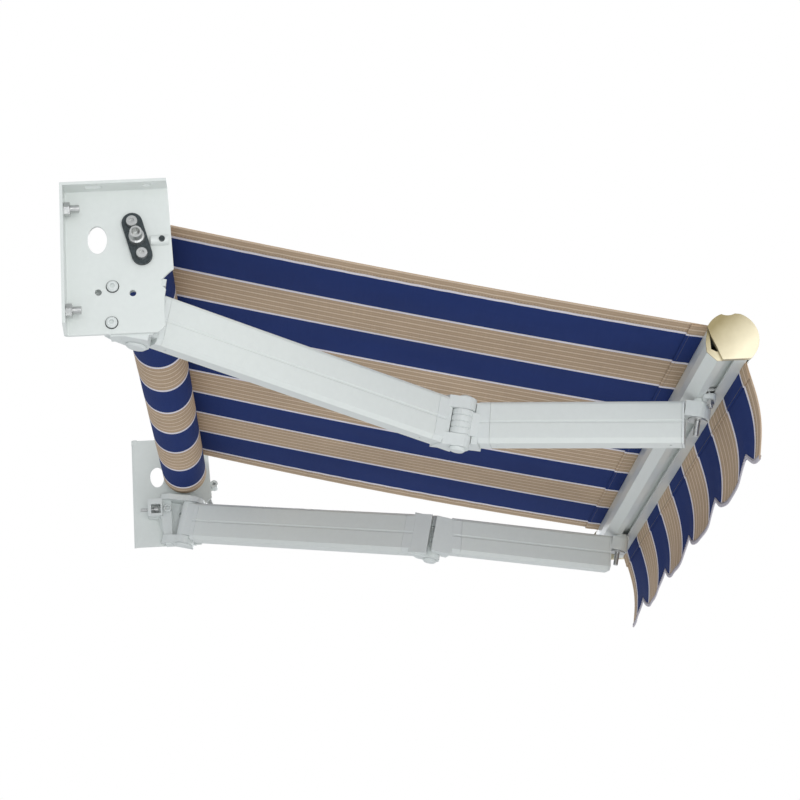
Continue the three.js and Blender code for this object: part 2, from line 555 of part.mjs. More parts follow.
// Wrist seats under the bar, their clamp bolts in the bar's slot, and the wrist pins.
const SEAT_N = EYE_N[1] + 0.4;
const CLAMP = [-440, BAR[0] - 4];
const wristFoot = wristAt(SEAT_N);
const seatPlan = join(
  rod(14, -60, 60, wristFoot, Z, 16),
  rod(9, -60, 60, at(CLAMP[0], CLAMP[1], 275), Z, 16),
  prism(roundedRect(26, 16, 1, -427, -CLAMP[1]), 120, at(0, 0, 335), X, Z),
);
const seat = cut(
  plate([[836, 269], [868, 269], [868, downAt(868, SEAT_N)], [836, downAt(836, SEAT_N)]], -452, -396)
    .intersect(seatPlan),
  rod(4.3, -60, 20, wristAt(0), NORMAL, 24),
  rod(3.3, -20, 20, at(CLAMP[0], CLAMP[1], 272), Z, 20),
);
pair("wrist_seat", seat, CAST, 0.3, 0.5);
const clampTop = BAR[1] + 20.2;
pair("clamp_bolt", join(
  prism(roundedRect(14, 18, 0.6, CLAMP[0], -CLAMP[1]), 3.8, at(0, 0, clampTop + 3.8), X, Z),
  rod(3, -26, -3, at(CLAMP[0], CLAMP[1], clampTop), Z, 20),
  prism(hexagon(5.8), 5, at(CLAMP[0], CLAMP[1], 283.4), X, Z),
), STEEL, 0.8, 0.35);
pair("wrist_pin", turned([
  [0, -15.6], [4, -15.6], [4, EYE_N[0] - 0.4], [13.5, EYE_N[0] - 0.4],
  [13.5, EYE_N[0] - 2.4], [4, EYE_N[0] - 2.4], [4, -64], [0, -64],
], wristAt(0), NORMAL, 32), STEEL, 0.8, 0.35);

// Cloth: the canopy with its bead in the bar, and the valance with a wavy lower edge.
startSection("cloth");
const bead = at(0, BAR[0] + HEM[0], BAR[1] - HEM[1]);
const local = bead.clone().sub(CENTRE);
const [beadS, beadN] = [local.dot(ALONG), local.dot(NORMAL)];
const skin = 0.6;
const sheet = prism([
  [3, ROLL_R + GAP], [3, ROLL_R + GAP + 2 * skin], [-beadS, beadN + skin], [-beadS, beadN - skin],
], 2 * CLOTH_HALF, tilt(-CLOTH_HALF, 0, 0), ALONG.clone().negate(), X);
add("canopy", join(sheet, rod(3.2, -CLOTH_HALF, CLOTH_HALF, bead, X, 16)), BLUE, 0, 0.9);

const wave = [];
const STEPS = 96;
for (let i = 0; i <= STEPS; i++) {
  const x = -CLOTH_HALF + (2 * CLOTH_HALF * i) / STEPS;
  const lift = (1 - Math.abs(Math.sin((Math.PI * x) / REPEAT))) ** 1.3;
  wave.push([x, -VALANCE_DROP + SCALLOP * lift]);
}
const skirtTop = at(0, BAR[0] + SKIRT[0], BAR[1] - SKIRT[1]);
const valance = prism([[CLOTH_HALF, 0], [-CLOTH_HALF, 0], ...wave], 2 * skin,
  skirtTop.clone().addScaledVector(Y, skin), X, Y.clone().negate());
add("valance", join(valance, rod(2.8, -CLOTH_HALF, CLOTH_HALF, skirtTop, X, 16)), BLUE, 0, 0.9);

export default group;
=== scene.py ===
"""Folding-arm awning: cloth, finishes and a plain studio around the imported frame."""

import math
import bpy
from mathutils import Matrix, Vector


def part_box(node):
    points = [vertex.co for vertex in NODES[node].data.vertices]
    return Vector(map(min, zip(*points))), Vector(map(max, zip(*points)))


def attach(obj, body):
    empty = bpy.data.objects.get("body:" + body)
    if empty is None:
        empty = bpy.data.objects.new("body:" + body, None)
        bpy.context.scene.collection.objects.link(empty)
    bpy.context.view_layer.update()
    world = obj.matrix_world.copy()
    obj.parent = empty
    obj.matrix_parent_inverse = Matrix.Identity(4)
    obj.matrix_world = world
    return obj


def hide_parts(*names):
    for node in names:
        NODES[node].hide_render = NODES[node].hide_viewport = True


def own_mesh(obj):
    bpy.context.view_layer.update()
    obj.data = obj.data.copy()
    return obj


bl_info = {
    "name": "Folding-arm awning",
    "version": (1, 0, 0),
    "blender": (4, 5, 0),
    "location": "View3D > Sidebar > Awning",
    "description": "Striped cloth, metal finishes and studio for a folding-arm awning",
    "category": "Object",
}

import bpy
import numpy as np
from bpy.props import FloatProperty, FloatVectorProperty, IntProperty, PointerProperty
from bpy.types import Operator, Panel, PropertyGroup
from mathutils import Matrix, Vector

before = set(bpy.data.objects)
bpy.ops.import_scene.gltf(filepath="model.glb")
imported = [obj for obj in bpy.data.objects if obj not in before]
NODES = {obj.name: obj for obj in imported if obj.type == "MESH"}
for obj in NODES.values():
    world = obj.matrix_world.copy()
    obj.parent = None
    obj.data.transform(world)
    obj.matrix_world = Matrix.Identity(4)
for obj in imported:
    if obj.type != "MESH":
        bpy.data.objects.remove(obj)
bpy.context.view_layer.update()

# Places taken from the frame, in metres.
ROLL_LOW, ROLL_HIGH = (np.array(corner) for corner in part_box("fabric_roll"))
ROLL_CENTRE = (ROLL_LOW + ROLL_HIGH) / 2
ROLL_RADIUS = float(ROLL_HIGH[2] - ROLL_LOW[2]) / 2
TUBE_RADIUS = float(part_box("roller_tube")[1].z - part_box("roller_tube")[0].z) / 2
CLOTH_HALF = float(ROLL_HIGH[0])
CANOPY_LOW = np.array(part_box("canopy")[0])
VALANCE_LOW, VALANCE_HIGH = (np.array(corner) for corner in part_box("valance"))
CANOPY_CORD = 0.0032  # radius of the cord sewn into the canopy's front edge
SKIRT_CORD = 0.0028  # radius of the cord sewn into the valance's top edge
BEAD = np.array([0.0, CANOPY_LOW[1] + CANOPY_CORD, CANOPY_LOW[2] + CANOPY_CORD])
SKIRT = np.array([0.0, (VALANCE_LOW[1] + VALANCE_HIGH[1]) / 2, VALANCE_HIGH[2] - SKIRT_CORD])
DROP = float(SKIRT[2] - VALANCE_LOW[2])

PITCH = math.radians(13.7)
ACROSS = np.array([1.0, 0.0, 0.0])
ALONG = np.array([0.0, -math.cos(PITCH), -math.sin(PITCH)])
NORMAL = np.array([0.0, -math.sin(PITCH), math.cos(PITCH)])
REACH = float((BEAD - ROLL_CENTRE) @ ALONG)  # roller axis to cord, along the slope
RISE = float((BEAD - ROLL_CENTRE) @ NORMAL)
HEM_LAYER = 1.7  # distance between the two layers of a side hem, in cloth thicknesses
HALF_PLATE = -float(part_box("shoulder_screw_upper_left")[0].x) - 0.005  # outer face of a side plate


def colour(name, description, default):
    """A colour property with its three channels."""
    return FloatVectorProperty(
        name=name, description=description, default=default, size=3, min=0.0, max=1.0, subtype="COLOR"
    )


def distance(name, description, default):
    """A length property in metres."""
    return FloatProperty(
        name=name, description=description, default=default, min=0.0, unit="LENGTH", subtype="DISTANCE",
        precision=5,
    )


class AwningSizes(PropertyGroup):
    """Sizes of the cloth, its stripes and its sewing."""

    repeat: distance("Stripe repeat", "Width of one blue and one sand stripe together", 0.240)
    blue_width: distance("Blue stripe", "Width of each blue stripe", 0.1140)
    line_width: distance("White line", "Width of the white line between two stripes", 0.0080)
    pin_width: distance("Pinstripe", "Width of each pale pinstripe on the sand", 0.0022)
    pin_step: distance("Pinstripe step", "Distance between two pinstripes", 0.020)
    yarn: distance("Yarn pitch", "Distance between two yarns of the weave", 0.0009)
    thickness: distance("Cloth thickness", "Thickness of one layer of canvas", 0.00055)
    hem: distance("Side hem", "Width of cloth folded back at each side", 0.036)
    pocket: distance("Cord hem", "Length of cloth sewn back behind each cord", 0.026)
    sag: distance("Canopy sag", "How far the middle of the canopy hangs below a straight line", 0.004)
    bulge: distance("Valance bulge", "How far the valance swings outward below the bar", 0.009)
    scallop: distance("Scallop", "Height of the wave along the valance", 0.028)
    binding: distance("Binding", "Width of the tape along the valance's lower edge", 0.0055)
    stitch: distance("Stitch length", "Length of one stitch", 0.0030)
    stitch_step: distance("Stitch step", "Distance between two stitches", 0.0044)
    turns: IntProperty(name="Roll turns", description="Turns of cloth left on the roller", default=5, min=2)


class AwningColours(PropertyGroup):
    """Colours of the cloth, of the finishes and of the studio."""

    blue: colour("Blue", "Blue stripes", (0.010, 0.030, 0.150))
    sand: colour("Sand", "Sand stripes", (0.52, 0.385, 0.265))
    dark_sand: colour("Dark sand", "Fine darker lines on the sand", (0.35, 0.245, 0.155))
    pin: colour("Pinstripe", "Pale pinstripes on the sand", (0.80, 0.68, 0.53))
    line: colour("White line", "Lines between the stripes", (0.80, 0.77, 0.82))
    tape: colour("Tape", "Binding along the valance", (0.60, 0.57, 0.62))
    enamel: colour("Enamel", "Enamel on plates, arms and bar", (0.70, 0.735, 0.71))
    casting: colour("Casting enamel", "Enamel on the castings", (0.69, 0.725, 0.71))
    zinc: colour("Zinc", "Plated screws, studs and pins", (0.56, 0.57, 0.56))
    phosphate: colour("Phosphate", "Dark plate and dark screws", (0.075, 0.09, 0.095))
    gold: colour("Gold", "End caps", (0.80, 0.73, 0.54))
    # Painted shade: the rear upper side of each end cap is darker only because of how light falls on it.
    gold_painted_shade: colour("Gold shade", "Rear upper side of the end caps", (0.29, 0.24, 0.125))
    plug: colour("Plug plastic", "Roller end plugs", (0.60, 0.61, 0.59))
    paper: colour("Studio", "Floor and surroundings", (0.86, 0.86, 0.86))


def sizes():
    return bpy.context.scene.awning_sizes


def colours():
    return bpy.context.scene.awning_colours


# Meshes ------------------------------------------------------------------------------------------


def grid_quads(rows, cols, wrap=False):
    """Faces of a grid of rows by cols points: each joins a point to the next in its row and column.
    wrap closes the columns into a ring."""
    i, j = np.meshgrid(np.arange(rows - 1), np.arange(cols if wrap else cols - 1), indexing="ij")
    k = (j + 1) % cols
    return np.stack([i * cols + j, (i + 1) * cols + j, (i + 1) * cols + k, i * cols + k], -1).reshape(-1, 4)


def mesh_piece(name, points, faces, material, uv=None, body="frame"):
    """A mesh object at the origin, from points in metres, that rides on a body."""
    mesh = bpy.data.meshes.new(name)
    points = np.asarray(points, float).reshape(-1, 3)
    mesh.from_pydata(points.tolist(), [], [list(f) for f in faces])
    mesh.polygons.foreach_set("use_smooth", np.ones(len(mesh.polygons), bool))
    if uv is not None:
        corner = np.empty(len(mesh.loops), np.int32)
        mesh.loops.foreach_get("vertex_index", corner)
        layer = mesh.uv_layers.new(name="cloth")
        layer.data.foreach_set("uv", np.asarray(uv, np.float32).reshape(-1, 2)[corner].ravel())
    mesh.materials.append(material)
    mesh.validate()
    mesh.update()
    made = bpy.data.objects.new(name, mesh)
    bpy.context.scene.collection.objects.link(made)
    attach(made, body)
    return made


def thicken(piece, thickness):
    """Solidify, evenly to both sides of the modelled middle surface."""
    modifier = piece.modifiers.new("thickness", "SOLIDIFY")
    modifier.thickness = thickness
    modifier.offset = 0.0
    return piece


def smoothstep(x, low, high):
    """0 below low, 1 above high, and 3t^2 - 2t^3 between."""
    t = np.clip((x - low) / (high - low), 0, 1)
    return t * t * (3 - 2 * t)


def frame_of(surface, across, along, step=1e-4):
    """The point of surface(across, along), its two unit slopes and its unit normal.
    The slopes are central differences over step and the normal is their cross product."""
    across, along = np.broadcast_arrays(np.asarray(across, float), np.asarray(along, float))
    u = surface(across + step, along) - surface(across - step, along)
    v = surface(across, along + step) - surface(across, along - step)
    n = np.cross(u, v)
    return surface(across, along), *(a / np.linalg.norm(a, axis=-1, keepdims=True) for a in (u, v, n))


def hem_profile(half, hem, step, layer):
    """Section across a cloth with both sides folded back: across, lift off the middle, and flat width.
    The flat width runs on over the fold, so a printed stripe turns with the cloth."""
    middle = np.linspace(-half, half, 2 * round(half / step) + 1)
    fold = np.linspace(0, math.pi, 7)[1:-1]
    back = np.linspace(half, half - hem, 7)
    right = np.concatenate([half + layer / 2 * np.sin(fold), back])
    lift = np.concatenate([-layer / 2 * (1 - np.cos(fold)), np.full(len(back), -layer)])
    flat = half + np.concatenate([layer / 2 * fold, math.pi * layer / 2 + half - back])
    return (
        np.concatenate([-right[::-1], middle, right]),
        np.concatenate([lift[::-1], np.zeros(len(middle)), lift]),
        np.concatenate([-flat[::-1], middle, flat]),
    )


def hemmed_sheet(name, surface, rows, row_length, material, body):
    """A cloth whose sides are folded back: every point of hem_profile times rows of the surface, lifted
    along the surface's normal."""
    s = sizes()
    across, lift, flat = hem_profile(CLOTH_HALF - 0.0005, s.hem, 0.012, s.thickness * HEM_LAYER)
    inside = np.clip(across, -CLOTH_HALF + 0.0006, CLOTH_HALF - 0.0006)
    points, u, _, n = frame_of(surface, inside[:, None], rows[None, :])
    points = points + lift[:, None, None] * n + (across - inside)[:, None, None] * u
    uv = np.stack(np.broadcast_arrays(flat[:, None], row_length[None, :]), -1)
    piece = mesh_piece(name, points, grid_quads(len(across), len(rows)), material, uv, body)
    return thicken(piece, s.thickness), float(np.ptp(flat))


def hem_layer(across, rise=0.004):
    """Thickness that the folded side hem adds on the outer face, from nothing to all over the rise."""
    s = sizes()
    fold = CLOTH_HALF - s.hem
    return s.thickness * HEM_LAYER * smoothstep(np.abs(across), fold - rise, fold)


def path_lookup(path, at):
    """Points of a polyline at distances along it, by linear interpolation of each coordinate."""
    run = np.concatenate([[0], np.cumsum(np.linalg.norm(np.diff(path, axis=0), axis=1))])
    return np.stack([np.interp(at, run, path[:, i]) for i in range(path.shape[1])], -1)


def stitch_line(surface, across, along, lift):
    """Stitches on a surface: a small closed pad at each place, long towards the next place.
    A pad is an ellipsoid, half length a, half width b and half height c, laid in the frame of tangent,
    side and normal."""
    s = sizes()
    rings, sides = 3, 6
    polar = np.linspace(0, math.pi, rings + 2)[1:-1]
    turn = np.linspace(0, 2 * math.pi, sides, endpoint=False)
    a, b, c = s.stitch / 2, 0.00042, 0.00030
    wide = np.sin(polar)[:, None]
    belt = np.stack(np.broadcast_arrays(
        a * np.cos(polar)[:, None], b * wide * np.cos(turn), c * wide * np.sin(turn)
    ), -1).reshape(-1, 3)
    pad = np.concatenate([[[a, 0, 0]], belt, [[-a, 0, 0]]])
    across, along, lift = np.broadcast_arrays(across, along, lift)
    place, _, _, n = frame_of(surface, across, along)
    place = place + lift[..., None] * n
    run = np.gradient(place, axis=0)
    run /= np.linalg.norm(run, axis=1, keepdims=True)
    side = np.cross(n, run)
    points = (
        place[:, None] + pad[None, :, :1] * run[:, None] + pad[None, :, 1:2] * side[:, None]
        + pad[None, :, 2:] * n[:, None]
    )
    k = np.arange(sides)
    last = len(pad) - 1
    caps = np.concatenate([
        np.stack([np.zeros_like(k), 1 + k, 1 + (k + 1) % sides], 1),
        np.stack([np.full_like(k, last), last - sides + (k + 1) % sides, last - sides + k], 1),
    ])
    quads = 1 + grid_quads(rings, sides, wrap=True)
    return points, quads, caps


def sew(name, lines, material, body):
    """One object from several stitch lines, their faces counted on from one line to the next."""
    points, faces, count = [], [], 0
    for p, quads, caps in lines:
        start = count + np.arange(len(p))[:, None, None] * p.shape[1]
        faces += (start + quads[None]).reshape(-1, 4).tolist() + (start + caps[None]).reshape(-1, 3).tolist()
        points.append(p.reshape(-1, 3))
        count += p.shape[0] * p.shape[1]
    return mesh_piece(name, np.concatenate(points), faces, material, body=body)


def places(low, high, step):
    return np.linspace(low, high, max(2, round((high - low) / step) + 1))


# Cloth surfaces ----------------------------------------------------------------------------------


ARC_POINTS = 9  # of the canopy's side view over the roll


def canopy_path():
    """Side view of the canopy, along and up from the roller axis: a short arc over the roll, a slack
    line to the bar, a loop round the cord and the start of the pocket below."""
    s = sizes()
    r = ROLL_RADIUS + 0.0009
    over = np.radians(np.linspace(-12, 1.2, ARC_POINTS))
    lay = ROLL_RADIUS + 0.00035 + (r - ROLL_RADIUS - 0.00035) * smoothstep(over, over[0], 0.0)
    arc = np.stack([lay * np.sin(over), lay * np.cos(over)], 1)
    start = arc[-1]
    end = np.array([REACH - 0.0019, RISE + 0.0004])
    t = np.linspace(0, 1, 73)[1:, None]
    line = start + (end - start) * t - np.array([0, s.sag]) * 4 * t * (1 - t)
    loop = np.radians(np.linspace(165, -165, 13))
    ring = np.array([REACH, RISE]) + 0.0019 * np.stack([np.cos(loop), np.sin(loop)], 1)
    slope = (end - line[-8]) / np.linalg.norm(end - line[-8])
    back = ring[-1] - slope * (np.linspace(0, 1, 12)[1:, None] * s.pocket)
    back[:, 1] -= 0.0007 * smoothstep(np.linspace(0, 1, 11), 0.2, 0.8)
    return np.concatenate([arc, line, ring, back]), len(arc) + len(line)


def canopy_surface(across, along):
    """The canopy's middle surface: the side view carried across, plus shallow tension waves
    sin(across) sin(pi t) and a fine pucker along each side seam."""
    path, _ = canopy_path()
    side = path_lookup(path, along)
    t = np.clip(side[..., 0] / REACH, 0, 1)
    free = np.sin(math.pi * t)
    wave = 0.0011 * np.sin(across * 19.0 + 0.6) * free + 0.0006 * np.sin(across * 47.0 + 2.0) * free ** 2
    seam = np.abs(np.abs(across) - (CLOTH_HALF - 0.030)) / 0.018
    pucker = 0.00035 * np.sin(along * 2 * math.pi / 0.038 + across * 9) * np.exp(-seam ** 2) * free
    edge = -0.0016 * smoothstep(np.abs(across), CLOTH_HALF - 0.12, CLOTH_HALF) * free
    up = side[..., 1] + wave + pucker + edge
    return (
        ROLL_CENTRE + across[..., None] * ACROSS + side[..., :1] * ALONG + up[..., None] * NORMAL
    )


def scallop_length(across):
    """Length of the valance at each place: the full drop less (1 - |sin(pi x / repeat)|) to the power 1.3
    times the scallop's height, which leaves a cusp in the middle of every other stripe."""
    s = sizes()
    lift = (1 - np.abs(np.sin(math.pi * across / s.repeat))) ** 1.3
    return DROP - 0.0006 - s.scallop * lift


LOOP_SHARE = 0.10  # of the valance's side view: the turn round the cord
POCKET_SHARE = 0.22  # and the pocket hem behind it


def valance_surface(across, share):
    """The valance's middle surface. Share 0 to 1 runs from the cord to the lower edge, hanging in an
    outward bow sin(pi t) with soft folds that grow downwards. Below 0 it turns round the cord, and then
    the pocket hem runs down behind."""
    s = sizes()
    length = scallop_length(across)
    pocket = np.clip((-share - LOOP_SHARE) / POCKET_SHARE, 0, None)
    drop = np.where(share >= 0, np.clip(share, 0, None) * length, pocket * s.pocket)
    t = drop / DROP
    bow = s.bulge * np.sin(math.pi * np.clip((t - 0.045) / 1.03, 0, 1)) ** 1.15
    free = smoothstep(t, 0.08, 0.9)
    end = smoothstep(np.abs(across), CLOTH_HALF - 0.07, CLOTH_HALF)
    broad = 0.0012 * np.sin(across * 2 * math.pi / 0.197 + 0.7)
    fold = broad + 0.0006 * np.sin(across * 2 * math.pi / 0.083 + 2.1)
    y = SKIRT[1] - bow - 0.003 * free - free * fold * (1 - 0.6 * end) + 0.002 * end * free ** 2
    z = SKIRT[2] - drop + 0.5 * (math.pi * s.bulge) ** 2 / DROP * t * 0.5
    turn = math.pi * 1.72 * np.clip(-share / LOOP_SHARE, 0, 1) - math.pi / 2
    ring_y, ring_z = SKIRT[1] + 0.0017 * np.cos(turn), SKIRT[2] + 0.0017 * np.sin(turn)
    hem = share < -LOOP_SHARE
    y = np.where(share < 0, np.where(hem, y + 0.0010 * smoothstep(t, 0.0, 0.03), ring_y), y)
    z = np.where(share < 0, np.where(hem, z, ring_z), z)
    return np.stack([across + 0.0015 * free * np.sin(across * 31), y, z], -1)


def spiral(turns):
    """Side view of the cloth on the roller: radius grows from the tube by one pitch each turn, and the
    last turn ends under the canopy's own start."""
    inner = TUBE_RADIUS + 0.0006
    outer = ROLL_RADIUS - sizes().thickness / 2 - 0.00015
    angle = np.linspace(0, turns * 2 * math.pi, turns * 96 + 1)
    return angle, inner + (outer - inner) * angle / angle[-1]


# Node groups and materials -----------------------------------------------------------------------


class Nodes:
    """Short names for adding nodes to a tree and joining their sockets."""

    def __init__(self, tree):
        self.tree = tree

    def add(self, kind, inputs=None, **settings):
        node = self.tree.nodes.new(kind)
        for key, value in settings.items():
            setattr(node, key, value)
        for key, value in (inputs or {}).items():
            self.put(node.inputs[key], value)
        return node

    def put(self, socket, value):
        if isinstance(value, bpy.types.NodeSocket):
            self.tree.links.new(value, socket)
        elif isinstance(value, bpy.types.Node):
            self.tree.links.new(value.outputs[0], socket)
        else:
            socket.default_value = value

    def math(self, operation, a, b=0.0, c=None):
        values = {0: a, 1: b} if c is None else {0: a, 1: b, 2: c}
        return self.add("ShaderNodeMath", values, operation=operation).outputs[0]

    def mix(self, factor, a, b, blend="MIX"):
        node = self.add("ShaderNodeMix", data_type="RGBA", blend_type=blend)
        for index, value in ((0, factor), (6, a), (7, b)):
            self.put(node.inputs[index], value)
        return node.outputs[2]

    def noise(self, vector, scale, detail=2.0, roughness=0.5):
        return self.add(
            "ShaderNodeTexNoise",
            {"Vector": vector, "Scale": scale, "Detail": detail, "Roughness": roughness},
        ).outputs["Fac"]

    def ramp(self, value, low, high, out_low=0.0, out_high=1.0):
        return self.add(
            "ShaderNodeMapRange",
            {"Value": value, "From Min": low, "From Max": high, "To Min": out_low, "To Max": out_high},
        ).outputs[0]

    def group(self, tree, inputs):
        return self.add("ShaderNodeGroup", inputs, node_tree=tree)


def new_group(name, inputs, outputs):
    """A shader node group with named sockets. inputs: name to default number or colour; outputs: name to
    socket type."""
    tree = bpy.data.node_groups.new(name, "ShaderNodeTree")
    for key, value in inputs.items():
        kind = "NodeSocketVector" if value == "vector" else (
            "NodeSocketColor" if isinstance(value, tuple) else "NodeSocketFloat")
        socket = tree.interface.new_socket(key, in_out="INPUT", socket_type=kind)
        if value != "vector":
            socket.default_value = (*value, 1.0) if isinstance(value, tuple) else value
    for key, kind in outputs.items():
        tree.interface.new_socket(key, in_out="OUTPUT", socket_type=kind)
    nodes = Nodes(tree)
    return tree, nodes, nodes.add("NodeGroupInput"), nodes.add("NodeGroupOutput")


def stripes_group():
    """Awning stripes from the distance across the cloth: blue, a white line, then sand with pinstripes."""
    white = (1.0, 1.0, 1.0)
    tree, n, ins, outs = new_group(
        "awning_stripes",
        {"Across": 0.0, "Repeat": 0.24, "Blue Width": 0.1165, "Line Width": 0.0056, "Pin Width": 0.0015,
         "Pin Step": 0.02, "Blue": white, "Sand": white, "Dark Sand": white, "Pin": white, "Line": white},
        {"Color": "NodeSocketColor", "Line Mask": "NodeSocketFloat"},
    )
    i = ins.outputs
    half = n.math("MULTIPLY", i["Repeat"], 0.5)
    place = n.math("PINGPONG", i["Across"], half)
    blue_half = n.math("MULTIPLY", i["Blue Width"], 0.5)
    line_half = n.math("MULTIPLY", i["Line Width"], 0.5)
    blue = n.math("LESS_THAN", place, blue_half)
    line = n.math("COMPARE", place, n.math("ADD", blue_half, line_half), line_half)
    pin_half = n.math("MULTIPLY", i["Pin Step"], 0.5)
    from_pin = n.math("PINGPONG", n.math("SUBTRACT", half, place), pin_half)
    pin = n.math("LESS_THAN", from_pin, n.math("MULTIPLY", i["Pin Width"], 0.5))
    dark = n.math("COMPARE", from_pin, n.math("MULTIPLY", pin_half, 0.62), n.math("MULTIPLY", pin_half, 0.07))
    sand = n.mix(n.math("MULTIPLY", dark, 0.7), i["Sand"], i["Dark Sand"])
    sand = n.mix(pin, sand, i["Pin"])
    result = n.mix(line, n.mix(blue, sand, i["Blue"]), i["Line"])
    n.put(outs.inputs["Color"], result)
    n.put(outs.inputs["Line Mask"], line)
    return tree


def weave_group():
    """Plain weave: the product of two sines of the flat cloth's coordinates, one yarn to each half wave,
    with slubs that run along single yarns. Its Shade is painted shade and highlight on the weave, plus a real
    tone from the slubs."""
    tree, n, ins, outs = new_group(
        "canvas_weave", {"Cloth": "vector", "Yarn": 0.0009, "Slub": 0.3},
        {"Height": "NodeSocketFloat", "Shade": "NodeSocketFloat"},
    )
    i = ins.outputs
    split = n.add("ShaderNodeSeparateXYZ", {0: i["Cloth"]})
    turn = n.math("DIVIDE", math.pi, i["Yarn"])
    warp = n.math("SINE", n.math("MULTIPLY", split.outputs[0], turn))
    weft = n.math("SINE", n.math("MULTIPLY", split.outputs[1], turn))
    knit = n.math("MULTIPLY", warp, weft)
    height = n.ramp(knit, -1.0, 1.0)
    long_way = n.add("ShaderNodeVectorMath", {0: i["Cloth"], 1: (900.0, 14.0, 1.0)}, operation="MULTIPLY")
    short_way = n.add("ShaderNodeVectorMath", {0: i["Cloth"], 1: (14.0, 900.0, 1.0)}, operation="MULTIPLY")
    slub = n.math("ADD", n.noise(long_way.outputs[0], 1.0, 1.0), n.noise(short_way.outputs[0], 1.0, 1.0))
    slub = n.math("MULTIPLY", n.math("SUBTRACT", slub, 1.0), i["Slub"])
    n.put(outs.inputs["Height"], n.math("ADD", height, slub))
    # Painted shade and highlight: the weave's dips are darker and its crowns lighter, as light falls on the
    # yarns; the slubs add a real tone along single yarns.
    shade = n.math("ADD", n.ramp(knit, -1.0, 1.0, 0.93, 1.03), n.math("MULTIPLY", slub, 0.8))
    n.put(outs.inputs["Shade"], shade)
    return tree


def grain_group():
    """Fine surface grain of paint, castings and plastic: two sizes of noise as a height and a value."""
    tree, n, ins, outs = new_group(
        "surface_grain", {"Fine Scale": 1400.0, "Broad Scale": 160.0, "Fine Share": 0.6},
        {"Height": "NodeSocketFloat", "Value": "NodeSocketFloat"},
    )
    i = ins.outputs
    here = n.add("ShaderNodeTexCoord").outputs["Object"]
    fine = n.noise(here, i["Fine Scale"], 2.0, 0.6)
    broad = n.noise(here, i["Broad Scale"], 3.0, 0.55)
    height = n.add("ShaderNodeMix", {0: i["Fine Share"], 2: broad, 3: fine}, data_type="FLOAT")
    n.put(outs.inputs["Height"], height.outputs[0])
    n.put(outs.inputs["Value"], broad)
    return tree


def wear_group():
    """Worn edges and settled dust as two masks. An edge is where a rounded normal leaves the true one,
    broken up by noise; dust lies on what faces up at rest."""
    tree, n, ins, outs = new_group(
        "edge_wear", {"Radius": 0.0012, "Dust Scale": 26.0},
        {"Edge": "NodeSocketFloat", "Dust": "NodeSocketFloat"},
    )
    i = ins.outputs
    where = n.add("ShaderNodeTexCoord")
    here = where.outputs["Object"]
    rounded = n.add("ShaderNodeBevel", {"Radius": i["Radius"]}, samples=4)
    flat = n.add("ShaderNodeNewGeometry")
    same = n.add(
        "ShaderNodeVectorMath", {0: rounded.outputs[0], 1: flat.outputs["Normal"]}, operation="DOT_PRODUCT"
    )
    edge = n.ramp(same.outputs["Value"], 0.985, 0.86)
    chips = n.ramp(n.noise(here, 210.0, 4.0, 0.65), 0.40, 0.62)
    n.put(outs.inputs["Edge"], n.math("MULTIPLY", edge, chips))
    up = n.add("ShaderNodeSeparateXYZ", {0: where.outputs["Normal"]}).outputs[2]
    lying = n.ramp(up, 0.25, 0.95)
    cloud = n.ramp(n.noise(here, i["Dust Scale"], 4.0, 0.6), 0.35, 0.72)
    n.put(outs.inputs["Dust"], n.math("MULTIPLY", lying, cloud))
    return tree


GROUPS = {}
MATERIALS = {}


def shared(name):
    """A node group, built the first time that it is asked for."""
    builders = {"stripes": stripes_group, "weave": weave_group, "grain": grain_group, "wear": wear_group}
    if name not in GROUPS:
        GROUPS[name] = builders[name]()
    return GROUPS[name]


def new_material(name):
    """An empty material with a Principled shader on its output: its node helper and the shader."""
    material = bpy.data.materials.new(name)
    material.use_nodes = True
    material.node_tree.nodes.clear()
    n = Nodes(material.node_tree)
    shader = n.add("ShaderNodeBsdfPrincipled")
    n.add("ShaderNodeOutputMaterial", {"Surface": shader.outputs[0]})
    return material, n, shader


def rgb(value):
    return (*value, 1.0)


